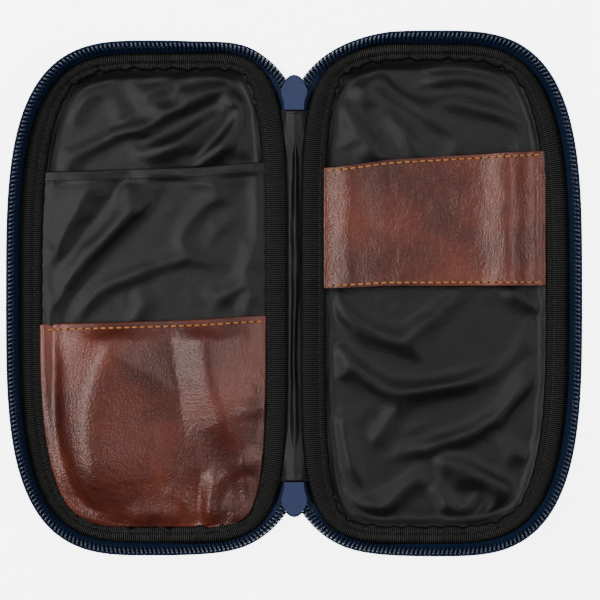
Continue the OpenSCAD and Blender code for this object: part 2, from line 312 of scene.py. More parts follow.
nylon = cloth("black_nylon", (0.0024, 0.0024, 0.0026), (0.0046, 0.0046, 0.0048),
              0.36, 0.42, 0.05, 40, 0.13, Specular_IOR_Level=0.27)
grosgrain = cloth("black_grosgrain", (0.0042, 0.0041, 0.0034), (0.0090, 0.0086, 0.0072),
                  0.48, 0.3, 0.04, 0, Specular_IOR_Level=0.36)
# Painted shade: a near-black copy of the grosgrain that darkens the troughs between the binding's
# ribs.
rib_trough_shade = plain("binding_rib_trough_shade", (0.0008, 0.0008, 0.0007), (0.0018, 0.0018, 0.0016), 0.8,
                     Specular_IOR_Level=0.08)
navy_cloth = cloth("navy_cloth", (0.0035, 0.0060, 0.0150), (0.0065, 0.0105, 0.0240),
                   0.75, 0.7, 0.12, 0, Specular_IOR_Level=0.07)
navy_tape = cloth("navy_tape", (0.0035, 0.0100, 0.0300), (0.0060, 0.0160, 0.0450),
                  0.6, 0.5, 0.08, 45, Specular_IOR_Level=0.15)
coil_nylon = plain("navy_coil", (0.0040, 0.0115, 0.0330), (0.0070, 0.0180, 0.0470), 0.28,
                   Specular_IOR_Level=0.6)
brown_leather = leather()
tan_thread = cloth("tan_thread", (0.34, 0.105, 0.018), (0.56, 0.21, 0.050), 0.6, 0.35, 0.08, 60)
black_thread = cloth("black_thread", (0.0020, 0.0020, 0.0020), (0.0042, 0.0042, 0.0042),
                     0.45, 0.35, 0.08, 60, Specular_IOR_Level=0.4)
lacquer = plain("slider_lacquer", (0.020, 0.031, 0.086), (0.027, 0.041, 0.106), 0.36, 1400.0, 0.02,
                Coat_Weight=0.2, Coat_Roughness=0.2)
foam = plain("grey_foam", (0.06, 0.06, 0.062), (0.09, 0.09, 0.092), 0.9, 1600.0, 0.2)

# ---------------------------------------------------------------- rings

def ring(name, path, normals, inset, height, material, side):
    """A closed band swept round a closed path. inset and height give each point of the
    section, one row for each point of the path."""
    xy = path[:, None, :] - normals[:, None, :] * inset[:, :, None]
    points = np.concatenate([xy, height[:, :, None]], 2)
    count, across = inset.shape
    faces = grid_faces(count, across, flip=side == RIGHT, round_rows=True, round_columns=True)
    return make(name, place(points, side), faces, material)


def mixed(first, second, share):
    """Two lists of (inset, height), mixed row by row: share 0 gives the first."""
    first, second = np.array(first, float), np.array(second, float)
    rows = first[None] * (1 - share[:, None, None]) + second[None] * share[:, None, None]
    return rows[:, :, 0], rows[:, :, 1]


def covers():
    """The outer cloth: a shallow dish whose edge rolls in to the seam, and runs down to the
    spine strip on the near side."""
    outer = [(12, 0), (8, 0.05), (5.5, 0.25), (3.4, 0.95), (1.7, 2.1), (0.6, 3.5), (0.1, 4.9),
             (0.3, 6.2), (1.2, 7.2), (2.4, 7.6), (3.6, 7.4), (4.6, 6.6)]
    by_spine = [(12, 0), (8, 0.05), (5.5, 0.25), (3.4, 0.95), (1.9, 2.0), (0.9, 3.0), (0.1, 3.7),
                (-0.7, 4.1), (-1.5, 4.3), (-1.9, 4.45), (-1.7, 4.9), (-1.0, 5.2)]
    near, far, half = cover_low[0], cover_high[0], cover_high[1]
    path, normals = outline(near, far, half, 1.2)
    for side in (LEFT, RIGHT):
        share = 1 - smooth((path[:, 0] - near - 1) / 16)
        inset, height = mixed(outer, by_spine, share)
        xy = path[:, None, :] - normals[:, None, :] * inset[:, :, None]
        points = np.concatenate([xy, height[:, :, None]], 2)
        middle = np.array([(near + far) / 2, 0])
        shrink = [0.08, 0.3, 0.55, 0.8]
        flat = np.zeros((len(path), 1))
        rows = [np.concatenate([middle + (xy[:, 0] - middle) * s, flat], 1) for s in shrink]
        points = np.concatenate([np.stack(rows, 1), points], 1)
        count, across = points.shape[:2]
        faces = grid_faces(count, across, flip=side == RIGHT, round_rows=True)
        cap = tuple(range(0, count * across, across))
        faces.append(cap[::-1] if side == RIGHT else cap)
        piece = make(SIDE[side] + "_outer_cloth", place(points, side), faces, navy_cloth)
        thicken(piece, 0.7, -1)
        bends(piece)
        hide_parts(SIDE[side] + "_cover")


# Pitch of the binding's ribs
RIB = 0.92


def bindings():
    """Black ribbed tape folded over the seam: a wide band, a stitched groove and a narrow band
    whose edge puckers round the corners. It follows the whole loop."""
    outer = [(0.0, 7.3), (0.0, 8.3), (0.7, 9.0), (2.2, 9.4), (4.4, 9.3), (6.2, 8.9),
             (GROOVE, 8.1), (8.0, 8.3), (9.2, 8.1), (10.2, 7.5), (BINDING_W, 6.6), (10.2, 6.0),
             (7.5, 6.3), (4, 6.9), (1, 7.0)]
    by_spine = [(0.2, 5.9), (0.0, 6.6), (0.6, 7.4), (2.0, 7.9), (4.2, 7.9), (6.5, 7.5),
                (8.2, 6.9), (9.0, 7.1), (9.8, 6.9), (10.6, 6.4), (11.0, 5.8), (10.6, 5.4),
                (8, 5.5), (4, 5.9), (1, 5.8)]
    path, normals = outline(LOOP_NEAR, LOOP_FAR, LOOP_HALF, RIB / 4)
    count = len(path) // 4 * 4
    path, normals = outline(LOOP_NEAR, LOOP_FAR, LOOP_HALF, None, count)
    run = np.arange(count)
    angle = np.unwrap(np.arctan2(normals[:, 1], normals[:, 0]))
    turning = np.abs(np.gradient(angle))
    around = np.r_[turning[-40:], turning, turning[:40]]
    turning = np.convolve(around, np.ones(81) / 81, "valid") / turning.mean()
    corner = smooth((turning - 1.0) / 2.0)
    for side in (LEFT, RIGHT):
        share = near_spine(path[:, 0])
        inset, height = mixed(outer, by_spine, share)
        inset = inset * narrowing(normals)[:, None]
        wave = np.zeros(count)
        for length, size in ((9.0, 0.5), (5.6, 0.35), (17.0, 0.3)):
            wave += size * np.sin(2 * math.pi * run * (RIB / 4) / length + random.uniform(0, 6))
        reach = smooth((inset / narrowing(normals)[:, None] - 5.0) / 5.0)
        gather = np.maximum(corner, 0.75 * np.abs(normals[:, 1]) ** 3)[:, None]
        inset = inset + wave[:, None] * reach * (0.12 + 0.60 * gather)
        height = height + wave[:, None] * reach * (0.15 + 0.60 * gather)
        top = smooth((height - 6.8 + share[:, None]) / 1.0)
        ribs = np.cos(2 * math.pi * run / 4)
        height = height + 0.20 * ribs[:, None] * top
        inset = inset + 0.10 * ribs[:, None] * ((inset < 0.5) * -1.0 + (inset > 9.5))
        piece = ring(SIDE[side] + "_ribbed_binding", path, normals, inset, height, grosgrain, side)
        # The rows round each rib's trough take the near-black material: painted shade between the
        # ribs.
        piece.data.materials.append(rib_trough_shade)
        across = inset.shape[1]
        piece.data.polygons.foreach_set("material_index", [
            1 if k // across % 4 in (1, 2) else 0 for k in range(count * across)])
        bends(piece)
        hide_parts(SIDE[side] + "_binding", "spine_binding_" + SIDE[side])


def stitches(name, places, material, side, width=0.62, height=0.4, holes=0.0):
    """A rounded stitch from each place to the next: places are (start, end) pairs. Where the
    thread is thick, black discs of that radius between the stitches paint the shade in the needle
    holes."""
    points, faces, hole_shade_faces = [], [], []
    around, along = 8, 7
    for start, end in places:
        start, end = np.array(start, float), np.array(end, float)
        step = end - start
        length = np.linalg.norm(step)
        forward = step / length
        across = np.cross((0, 0, 1), forward)
        across /= np.linalg.norm(across)
        up = np.cross(forward, across)
        base = len(points)
        for k in range(along):
            t = k / (along - 1)
            swell = max(0.12, math.sin(math.pi * (0.06 + 0.88 * t))) ** 0.45
            middle = start + step * t + up * height * 0.35 * math.sin(math.pi * t)
            for q in range(around):
                a = 2 * math.pi * q / around
                offset = across * math.cos(a) * width / 2 + up * math.sin(a) * height / 2
                points.append(middle + swell * offset)
        faces += [tuple(base + i for i in f) for f in grid_faces(along, around, round_columns=True)]
        faces.append(tuple(base + i for i in range(around))[::-1])
        faces.append(tuple(base + (along - 1) * around + i for i in range(around)))
    for (_, end), (start, _) in zip(places, places[1:]) if holes else []:
        middle = (np.array(start, float) + np.array(end, float)) / 2
        if np.linalg.norm(np.array(start, float) - middle) > 2:
            continue
        base = len(points)
        for level in (-0.2, 0.10):
            for q in range(10):
                a = 2 * math.pi * q / 10
                rim = [math.cos(a) * holes * 1.2, math.sin(a) * holes, level]
                points.append(middle + np.array(rim))
        shape = grid_faces(2, 10, round_columns=True)
        shape += [tuple(range(10))[::-1], tuple(range(10, 20))]
        hole_shade_faces += range(len(faces), len(faces) + len(shape))
        faces += [tuple(base + i for i in f) for f in shape]
    if side == LEFT:
        faces = [f[::-1] for f in faces]
    piece = make(name, place(points, side), faces, material)
    if holes:
        # The needle holes' discs take the black thread's colour: painted shade in the holes.
        piece.data.materials.append(black_thread)
        for index in hole_shade_faces:
            piece.data.polygons[index].material_index = 1
    return piece


def binding_stitches():
    """The black stitches that lie in the groove of the binding."""
    pitch, shown = 3.0, 2.2
    path, normals = outline(LOOP_NEAR, LOOP_FAR, LOOP_HALF, 0.2)
    share = near_spine(path[:, 0])
    groove = path - normals * ((GROOVE + 1.1 * share) * narrowing(normals))[:, None]
    level = 8.12 - 1.15 * share
    run = np.concatenate([[0], np.cumsum(np.linalg.norm(np.diff(groove, axis=0), axis=1))])
    line = np.column_stack([groove, level])

    def at(s):
        return [np.interp(s, run, line[:, k]) for k in range(3)]

    for side in (LEFT, RIGHT):
        places = [(at(k * pitch), at(k * pitch + shown)) for k in range(int(run[-1] / pitch))]
        piece = stitches(SIDE[side] + "_binding_stitches", places, black_thread, side, 0.5, 0.4)
        bends(piece)


# ---------------------------------------------------------------- the zip

# The coil's pitch, its wire's radius, and how far it reaches across and up from its middle
COIL_PITCH = 1.9
COIL_WIRE = 0.52
COIL_OUT = 1.65
COIL_UP = 0.95
# Where the coil enters the slider, and the x at which a half's zip becomes the slider's fork
MOUTH = np.array([1.6, slider_low[1] + 1.0])
FORK_X = 13.5


def zip_route(step):
    """The coil's middle line and the tape's sewn edge, point by point, from the bottom slider
    round the outer run to the top slider."""
    path, normals = outline(LOOP_NEAR, LOOP_FAR, LOOP_HALF, 0.25)
    upper = path[:, 1] >= 0
    join = 25.0
    outer = upper & (path[:, 0] >= join)
    rim, rim_normals = path[outer], normals[outer]
    flat = smooth((60 - rim[:, 0]) / 36) * (rim[:, 1] > LOOP_HALF * 0.6)
    reach = 2.1 - 0.3 * flat
    coil = rim + rim_normals * reach[:, None]
    level = 15.0 - 5.4 * flat
    start, tangent = coil[-1], coil[-1] - coil[-8]
    tangent /= np.linalg.norm(tangent)
    t = np.linspace(0, 1, 120)[1:, None]
    first, second, last = start + tangent * 9.0, np.array([MOUTH[0], MOUTH[1] + 13.0]), MOUTH
    leg = ((1 - t) ** 3 * start + 3 * t * (1 - t) ** 2 * first + 3 * t ** 2 * (1 - t) * second
           + t ** 3 * last)
    leg_level = 9.6 - 3.0 * smooth(t[:, 0] / 0.75)
    near = path[upper & (path[:, 0] < join) & (path[:, 1] > slider_low[1] - 3)]
    share = np.linspace(0, 1, len(near))
    sewn_leg = np.stack([np.interp(t[:, 0], share, near[:, k]) for k in (0, 1)], 1)
    near_normals = normals[upper & (path[:, 0] < join) & (path[:, 1] > slider_low[1] - 3)]
    leg_normals = np.stack([np.interp(t[:, 0], share, near_normals[:, k]) for k in (0, 1)], 1)
    coil, level = np.vstack([coil, leg]), np.concatenate([level, leg_level])
    sewn_level = np.concatenate([7.2 - 1.7 * flat, 5.5 - 0.3 * smooth(t[:, 0])])
    sewn = np.vstack([rim - rim_normals * 2.2, sewn_leg - leg_normals * 2.6])
    coil = np.column_stack([coil, level])
    sewn = np.column_stack([sewn, sewn_level])
    mirror = np.array([1, -1, 1])
    coil = np.vstack([coil[::-1] * mirror, coil[1:]])
    sewn = np.vstack([sewn[::-1] * mirror, sewn[1:]])
    run = np.concatenate([[0], np.cumsum(np.linalg.norm(np.diff(coil, axis=0), axis=1))])
    at = np.arange(0, run[-1], step)
    even = lambda line: np.stack([np.interp(at, run, line[:, k]) for k in range(3)], 1)
    return even(coil), even(sewn)


def route_frame(coil, sewn):
    """Unit vectors across the tape, towards the coil, and off the tape's inner face."""
    along = np.gradient(coil, axis=0)
    along /= np.linalg.norm(along, axis=1, keepdims=True)
    across = coil - sewn
    across -= along * (across * along).sum(1, keepdims=True)
    across /= np.linalg.norm(across, axis=1, keepdims=True)
    off = np.cross(across, along)
    return across, off


def cut(mask):
    """The runs of neighbouring True values, as slices."""
    edges = np.flatnonzero(np.diff(np.r_[0, mask.astype(int), 0]))
    return [slice(a, b) for a, b in zip(edges[::2], edges[1::2])]


def zip_parts(middle, wanted):
    """The stretches of the route inside or outside the forks. They overlap by a tooth."""
    fork = middle[:, 0] < FORK_X + (0.8 if wanted == "fork" else 0.0)
    return [s for s in cut(fork if wanted == "fork" else ~fork) if s.stop - s.start > 8]


def zip_piece(piece, end):
    """Bakes a zip piece's placement into its mesh, on the rim or on a fork."""
    if end is None:
        return bends(piece)
    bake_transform(piece)
    return piece


def tape_surface(coil, sewn, span, side, name):
    """The woven tape between its sewn edge and just past the coil."""
    across, off = route_frame(coil, sewn)
    columns = 12
    rows = []
    for k in range(columns):
        t = k / (columns - 1)
        base = sewn + (coil + across * 2.1 - sewn) * t
        rows.append(base + off * (-COIL_UP - 0.35 + 0.35 * math.sin(math.pi * t)))
    points = np.stack(rows, 1)[span]
    faces = grid_faces(points.shape[0], columns, flip=side == LEFT)
    piece = make(name, place(points, side), faces, navy_tape)
    return thicken(piece, 0.55, -1)


def coil_surface(coil, sewn, span, side, name):
    """The nylon coil: a wire wound round its middle line, flattened against the tape."""
    turns, around = 14, 6
    step = COIL_PITCH / turns
    run = np.concatenate([[0], np.cumsum(np.linalg.norm(np.diff(coil, axis=0), axis=1))])
    across, off = route_frame(coil, sewn)
    at = np.arange(run[span.start] + 0.3, run[span.stop - 1] - 0.3, step)
    pick = lambda line: np.stack([np.interp(at, run, line[:, k]) for k in range(3)], 1)
    middle, u, w = pick(coil), pick(across), pick(off)
    phase = 2 * math.pi * at / COIL_PITCH
    cos, sin = np.cos(phase)[:, None], np.sin(phase)[:, None]
    square = lambda value: np.sign(value) * np.abs(value) ** 0.8
    wire = middle + u * COIL_OUT * square(cos) + w * COIL_UP * square(sin)
    forward = np.gradient(wire, axis=0)
    forward /= np.linalg.norm(forward, axis=1, keepdims=True)
    outward = wire - middle
    outward -= forward * (outward * forward).sum(1, keepdims=True)
    outward /= np.linalg.norm(outward, axis=1, keepdims=True)
    third = np.cross(forward, outward)
    points = []
    for q in range(around):
        a = 2 * math.pi * q / around
        points.append(wire + COIL_WIRE * (outward * math.cos(a) + third * math.sin(a)))
    points = np.stack(points, 1)
    count = len(points)
    faces = grid_faces(count, around, flip=side == LEFT, round_columns=True)
    ends = [tuple(range(around))[::-1], tuple(range((count - 1) * around, count * around))]
    faces += [e[::-1] if side == LEFT else e for e in ends]
    return make(name, place(points, side), faces, coil_nylon)


def zips():
    """Tape and coil round each half's rim, and the forks that run from it to the sliders."""
    coil, sewn = zip_route(0.5)
    for side in (LEFT, RIGHT):
        for span in zip_parts(coil, "rim"):
            tape = tape_surface(coil, sewn, span, side, SIDE[side] + "_woven_tape")
            teeth = coil_surface(coil, sewn, span, side, SIDE[side] + "_wound_coil")
            for piece, node, slot in ((tape, "_zip_tape", "zip_tape"),
                                      (teeth, "_zip_coil", "zip_coil")):
                zip_piece(piece, None)
                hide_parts(SIDE[side] + node)
        for span in zip_parts(coil, "fork"):
            end = "top" if coil[span][0][1] > 0 else "bottom"
            label = end + "_" + SIDE[side]
            tape = tape_surface(coil, sewn, span, side, label + "_fork_tape")
            teeth = coil_surface(coil, sewn, span, side, label + "_fork_teeth")
            for piece, node, slot in ((tape, "_zip_fork", "zip_tape"),
                                      (teeth, "_fork_coil", "zip_coil")):
                zip_piece(piece, end)
                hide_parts(end + node)


def metal():
    """The sliders, their bails and pulls, and the zip stops are CAD pieces with worn edges."""
    worn = (("_slider", 0.35), ("_slider_bridge", 0.3), ("_pull_tab", 0.35), ("_zip_stop", 0.3))
    for end in ("top", "bottom"):
        for node, round_off in worn:
            piece = frame["nodes"][end + node]
            bevel = piece.modifiers.new("edges", "BEVEL")
            bevel.width = round_off * MM
            bevel.segments = 3
            bevel.limit_method = "ANGLE"
            bevel.harden_normals = False
            piece.data.materials.clear()
            piece.data.materials.append(lacquer)


def spine():
    """The outer cloth and the ridged lining of the spine."""
    half = spine_high[1]
    xs = np.linspace(-FOLD_X - 0.6, FOLD_X + 0.6, 41)
    ys = np.linspace(-half, half, 121)
    x, y = np.meshgrid(xs, ys)
    roll = np.clip((np.abs(x) - FOLD_X + 2.4) / 3.0, 0, 1)
    z = 4.1 + 0.35 * np.cos(y / 9.0) * np.cos(x / 5.0) * 0.4 + 0.5 * roll ** 2
    piece = make("spine_outer_cloth", np.stack([x, y, z], 2).reshape(-1, 3) * MM,
                 grid_faces(len(ys), len(xs), flip=True), navy_cloth)
    thicken(piece, 0.6, 1)
    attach(piece, "spine")
    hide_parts("spine_cover")

    hem = slider_low[1] - 0.2
    xs = np.linspace(-6.5, 6.5, 66)
    ys = np.linspace(-hem, hem, 330)
    x, y = np.meshgrid(xs, ys)
    wander = 0.5 * np.sin(y / 23.0) + 0.3 * np.sin(y / 9.0 + 1.0)
    width = 1.8 + 0.3 * np.sin(y / 13.0)
    ridge = np.exp(-np.abs((x - 0.3 - wander * 0.6) / width) ** 1.6)
    z = 5.0 + 2.3 * ridge + 0.10 * np.sin(y / 3.1 + x) * ridge
    hood = 2.3 * smooth((np.abs(y) - 58.0) / 21.0) * np.exp(-(x / 4.9) ** 4)
    z = np.maximum(z, 5.55 + hood + 0.4 * ridge)
    end = smooth((np.abs(y) - hem + 1.6) / 1.2)
    z += 0.35 * np.sin(math.pi * end)
    piece = make("spine_ridged_lining", np.stack([x, y, z], 2).reshape(-1, 3) * MM,
                 grid_faces(len(ys), len(xs)), nylon)
    thicken(piece, 0.35, -1)
    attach(piece, "spine")
    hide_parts("spine_lining")

# ---------------------------------------------------------------- cloth and leather panels

WELL_EDGE = inset_loop(9.4)
PANEL_NEAR, PANEL_FAR = WELL_EDGE[:, 0].min(), WELL_EDGE[:, 0].max()
PANEL_HALF = WELL_EDGE[:, 1].max()


def panel_grid(low_y, high_y, spacing, slope=0.0):
    """A grid that fills the well between two heights. Its top edge rises by slope mm
    towards the spine."""
    rows = int((high_y - low_y) / spacing) + 1
    columns = int((PANEL_FAR - PANEL_NEAR) / spacing) + 1
    v, u = np.meshgrid(np.linspace(0, 1, rows), np.linspace(0, 1, columns), indexing="ij")
    y = low_y + (high_y + slope * (0.5 - u) - low_y) * v
    near, far = edge_x(y, "near"), edge_x(y, "far")
    return near + (far - near) * u, y


def curve(points, samples=48):
    """A smooth line through a few points."""
    p = np.array(points, float)
    p = np.vstack([2 * p[0] - p[1], p, 2 * p[-1] - p[-2]])
    parts = []
    for k in range(1, len(p) - 2):
        t = np.linspace(0, 1, samples // (len(p) - 3) + 2)[:, None]
        a, b, c, d = p[k - 1:k + 3]
        parts.append(0.5 * (2 * b + (c - a) * t + (2 * a - 5 * b + 4 * c - d) * t ** 2
                            + (3 * b - a - 3 * c + d) * t ** 3))
    return np.vstack(parts)


def crest(x, y, points, width, height, round_off):
    """A fold along a line: two slopes that meet in a rounded crest, fading at both ends.
    A pair of widths gives the slope away from the spine first."""
    line = curve(points)
    share = np.linspace(0, 1, len(line))
    away = np.hypot(x[..., None] - line[:, 0], y[..., None] - line[:, 1])
    nearest = away.argmin(-1)
    distance = away.min(-1)
    if isinstance(width, tuple):
        width = np.where(x > line[nearest, 0], width[0], width[1])
    fade = smooth(0.25 + share[nearest] / 0.25) * smooth(0.15 + (1 - share[nearest]) / 0.35)
    slope = 1 - (np.hypot(distance, round_off) - round_off) / (width * (0.6 + 0.4 * fade))
    return height * fade * np.clip(slope, 0, 1) ** 1.6


def folds(x, y, crests, round_off=1.8):
    """The upper surface of several folds, so that they meet in creases."""
    total, below = np.zeros_like(x), np.zeros_like(x)
    for points, width, height in crests:
        if height > 0:
            total += crest(x, y, points, width, height, round_off) ** 3
        else:
            below += crest(x, y, points, width, height, round_off)
    return total ** (1 / 3) + below


def rumple(x, y, seed, scale, size, stretch=(1.0, 1.0), turn=0.0):
    """Low irregular swelling, longer along one direction than the other."""
    c, s = math.cos(math.radians(turn)), math.sin(math.radians(turn))
    u, v = (x * c + y * s) * stretch[0] / scale, (y * c - x * s) * stretch[1] / scale
    values = [noise.fractal(Vector((a, b, seed)), 0.6, 2.1, 3)
              for a, b in zip(u.ravel(), v.ravel())]
    return size * np.array(values).reshape(x.shape)


# Lengths are enlarged this much while cloth is simulated.
SIM = 20.0


def settle(x, y, z, grow, floor, bending=3.0, weight=0.12, pressure=0.0, frames=24):
    """Cloth simulation of a panel sewn down all round: the cloth is cut a share too large, so
    that it buckles over its floor. Lengths are enlarged while it runs."""
    rows, columns = x.shape
    points = np.stack([x, y, z], 2).reshape(-1, 3) * MM * SIM
    piece = make("settling", points, grid_faces(rows, columns), nylon)
    held = np.zeros((rows, columns), bool)
    held[:2], held[-3:], held[:, :2], held[:, -2:] = True, True, True, True
    pins = piece.vertex_groups.new(name="pins")
    pins.add(np.flatnonzero(held).tolist(), 1.0, "REPLACE")
    simulation = piece.modifiers.new("cloth", "CLOTH")
    settings = simulation.settings
    settings.quality = 6
    settings.mass = 0.3
    settings.tension_stiffness = 20
    settings.compression_stiffness = 20
    settings.shear_stiffness = 12
    settings.bending_stiffness = bending
    settings.air_damping = 3
    settings.shrink_min = -grow
    settings.vertex_group_mass = "pins"
    settings.effector_weights.gravity = weight
    if pressure:
        settings.use_pressure = True
        settings.uniform_pressure_force = pressure
    simulation.collision_settings.distance_min = 0.004
    simulation.point_cache.frame_start = 1
    simulation.point_cache.frame_end = frames
    bpy.ops.mesh.primitive_plane_add(size=20, location=(0, 0, floor * MM * SIM))
    ground = bpy.context.object
    ground.modifiers.new("ground", "COLLISION")
    ground.collision.thickness_outer = 0.004
    for frame_number in range(1, frames + 1):
        bpy.context.scene.frame_set(frame_number)
    settled = piece.evaluated_get(bpy.context.evaluated_depsgraph_get())
    moved = np.array([v.co[:] for v in settled.data.vertices]) / (MM * SIM)
    bpy.data.objects.remove(piece)
    bpy.data.objects.remove(ground)
    bpy.context.scene.frame_set(1)
    moved = moved.reshape(rows, columns, 3)
    return moved[..., 0], moved[..., 1], moved[..., 2]


def soften(z, held, times):
    """Evens out the height of a grid, except where it is held."""
    for _ in range(times):
        even = z.copy()
        even[1:-1, 1:-1] = (z[:-2, 1:-1] + z[2:, 1:-1] + z[1:-1, :-2] + z[1:-1, 2:]) / 4
        z = z + (even - z) * 0.6 * (1 - held)
    return z


def panel(name, side, x, y, z, material, thickness):
    """A sheet from a grid of points, with its thickness."""
    rows, columns = x.shape
    points = place(np.stack([x, y, z], 2), side)
    piece = make(name, points, grid_faces(rows, columns, flip=side == LEFT), material)
    finer = piece.modifiers.new("finer", "SUBSURF")
    finer.levels = finer.render_levels = 1
    thicken(piece, thickness, -1)
    bends(piece)
    return piece


def well_height(x, y, floor, rim, zone=9.0):
    """The panel's height: floor in the middle, rising to the seam."""
    depth = inside(x, y)
    return floor + (rim - floor) * (1 - smooth(depth / zone)), smooth((depth - 1.5) / 9.0)


# Spacing of the cloth panels' grids
GRID = 1.5

# Folds: points along the crest, width and height. A negative height is a valley.
LEFT_FOLDS = [
    ([(25, 97), (47, 87), (68, 76), (86, 71)], 12, 2.6),
    ([(22, 92), (33, 81), (60, 63), (78, 50)], 10, 3.4),
    ([(18, 89), (26, 76), (37, 60), (46, 48)], 9, 2.8), ([(50, 101), (71, 86), (84, 78)], 10, 1.8),
    ([(104, 78), (92, 92), (85, 101)], 9, 1.9), ([(92, 90), (78, 97), (66, 95)], 7, 1.3),
    ([(16, 80), (20, 70), (28, 58)], 6, 1.6),
    ([(27, 85), (38, 70), (50, 57)], 6, -1.8), ([(45, 102), (54, 92), (60, 84)], 6, -1.2)]

RIGHT_FOLDS = [
    ([(30, 101), (46, 87), (58, 78), (78, 64)], 11, 2.6), ([(24, 96), (42, 78), (58, 58)], 9, 2.6),
    ([(18, 88), (29, 72), (40, 55)], 9, 2.2),
    ([(58, 90), (70, 97), (86, 98), (99, 90), (110, 74)], 12, 2.4),
    ([(56, 79), (71, 84), (84, 80), (108, 73)], 10, 1.8),
    ([(13, 3), (26, -10), (47, -21), (60, -11), (80, 3)], 13, 2.6),
    ([(13, -15), (27, -32), (44, -43), (64, -41), (80, -37), (111, -22)], 14, 3.2),
    ([(110, -24), (100, -42), (88, -56), (74, -62), (59, -67), (40, -72)], 14, 3.0),
    ([(44, -43), (46, -50), (40, -60), (32, -68)], 10, 1.6),
    ([(60, -72), (80, -78), (104, -93)], 13, 2.6),
    ([(60, -73), (48, -86), (38, -94), (22, -92)], 12, 2.4),
    ([(61, -82), (66, -90), (70, -98)], 7, 1.4),
    ([(88, -62), (103, -71), (113, -66)], 8, 1.6), ([(92, 2), (106, -5), (112, -14)], 7, 1.4),
    ([(18, -50), (24, -68), (30, -84)], 12, 1.8),
    ([(72, -84), (86, -96), (98, -99)], 10, -1.2), ([(74, 88), (90, 86), (100, 80)], 10, -0.9)]

SLIP_FOLDS = [
    ([(86, 57), (99, 34), (109, 12)], 10, 2.0), ([(62, 46), (84, 26), (108, -5)], 12, 2.6),
    ([(58, 16), (82, 5), (100, -12)], 11, 2.0), ([(72, 2), (66, -2), (76, -12)], 7, 1.2),
    ([(30, 52), (48, 30), (52, 2)], 26, 2.0), ([(14, 24), (26, 6), (40, -10)], 12, 1.5),
    ([(14, 4), (20, -2), (24, -12)], 6, 1.2),
    ([(70, 60), (76, 52), (90, 34), (109, 8)], 9, -2.2), ([(28, 38), (40, 28), (50, 24)], 9, -0.8)]


def lining(side):
    """The wrinkled nylon that lines a half. The slip pocket covers its lower part on the left."""
    x, y = panel_grid(-PANEL_HALF + 0.3, PANEL_HALF - 0.3, GRID)
    z, free = well_height(x, y, FLOOR_Z, RIM_Z - 1.9, 5.8)
    wrinkles = folds(x, y, LEFT_FOLDS if side == LEFT else RIGHT_FOLDS)
    swelling = np.abs(rumple(x, y, 3.0 + side, 34, 0.4, (1, 1.8), 40))
    z = z + free * (0.3 + 1.35 * wrinkles + swelling)
    if side == LEFT:
        under = 1 - smooth((y - slip_high[1] + 1.5) / 11)
        z = z - under * free * np.maximum(z - FLOOR_Z - 0.3, 0)
    x, y, z = settle(x, y, z, 0.008, FLOOR_Z - 0.2, 4.0)
    z = np.maximum(soften(z, 1 - free, 2), FLOOR_Z - 0.2)
    piece = panel(SIDE[side] + "_nylon_lining", side, x, y, z, nylon, 0.3)
    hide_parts(SIDE[side] + "_lining")


def slip_pocket():
    """The tall nylon pocket on the left, with a stitched hem."""
    mouth = slip_high[1] - 0.2
    x, y = panel_grid(-PANEL_HALF + 0.8, mouth, GRID, 3.0)
    z, free = well_height(x, y, slip_low[2] + 2.6, RIM_Z - 1.5, 5.0)
    at_mouth = smooth((y - mouth + 7) / 5)
    z = z + free * (1.2 * folds(x, y, SLIP_FOLDS) * (1 - 0.5 * at_mouth)
                    + rumple(x, y, 9.0, 40, 0.4, (1, 1.8), -50))
    x, y, z = settle(x, y, z, 0.004, slip_low[2] + 0.9)
    z = soften(z, 1 - free, 2) - 0.9 * smooth((leather_high[1] - 1.0 - y) / 4.0)
    hem = y - mouth - 3.0 * (0.5 - (x - PANEL_NEAR) / (PANEL_FAR - PANEL_NEAR))
    z = z + 0.40 * smooth((hem + 5.4) / 1.0) - 0.25 * np.exp(-((hem + 5.6) / 0.8) ** 2)
    piece = panel("left_cloth_slip_pocket", LEFT, x, y, z, nylon, 0.45)
    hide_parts("left_slip_pocket")
    sewn = stitch_line(x, y, z, 4.2, 2.6, 1.8, 0.14)
    row = stitches("left_slip_pocket_stitches", sewn, black_thread, LEFT, 0.5, 0.35)
    bends(row)
    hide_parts("left_slip_pocket_thread")


def stitch_line(x, y, z, below, pitch, shown, lift, top=True):
    """Places for stitches along a panel's top or bottom edge, a distance inside it."""
    rows = len(y)
    spacing = (y[-1].mean() - y[0].mean()) / (rows - 1)
    at = rows - 1 - below / spacing if top else below / spacing
    low = int(at)
    share = at - low
    line = [k[low] * (1 - share) + k[low + 1] * share for k in (x, y, z)]
    line[2] = line[2] + lift
    return places_along(np.stack(line, 1)[1:-1], pitch, shown)


def places_along(line, pitch, shown):
    """Start and end of each stitch along a line."""
    run = np.concatenate([[0], np.cumsum(np.linalg.norm(np.diff(line, axis=0), axis=1))])
    at = lambda s: [np.interp(s, run, line[:, k]) for k in range(3)]
    return [(at(s), at(s + shown)) for s in np.arange(0.6, run[-1] - shown, pitch)]


# Tan stitches: from one to the next, length that shows, and height over the leather. Then
# the thread's width and height and the radius of the discs that paint the needle holes' shade.
TAN_STITCH = (3.45, 2.5, 0.1)
TAN_THREAD = (0.85, 0.65, 0.42)

# The leather's two long swellings, steep away from the spine, and its gathers at the seam
SHOULDERS = [
    ([(68, -6), (81, -22), (88, -38), (91, -56), (90, -70), (87, -84), (84, -101)], (15, 38), 6.2),
    ([(42, -6), (39, -26), (36, -42), (31, -56), (26, -70)], (13, 17), 4.4)]

PINCHES = [
    ([(34, -76), (36, -86), (37, -96), (34, -103)], 5, 2.6),
    ([(10, -49), (20, -50), (33, -49)], 5, 0.9),
    ([(50, -99), (62, -97), (76, -99)], 8, 1.8), ([(18, -92), (24, -97), (30, -99)], 6, 1.6),
    ([(14, -70), (20, -74), (25, -73)], 6, 1.0), ([(22, -80), (21, -88), (20, -94)], 4, 1.2),
    ([(57, -84), (52, -89), (46, -92)], 5, 0.8)]


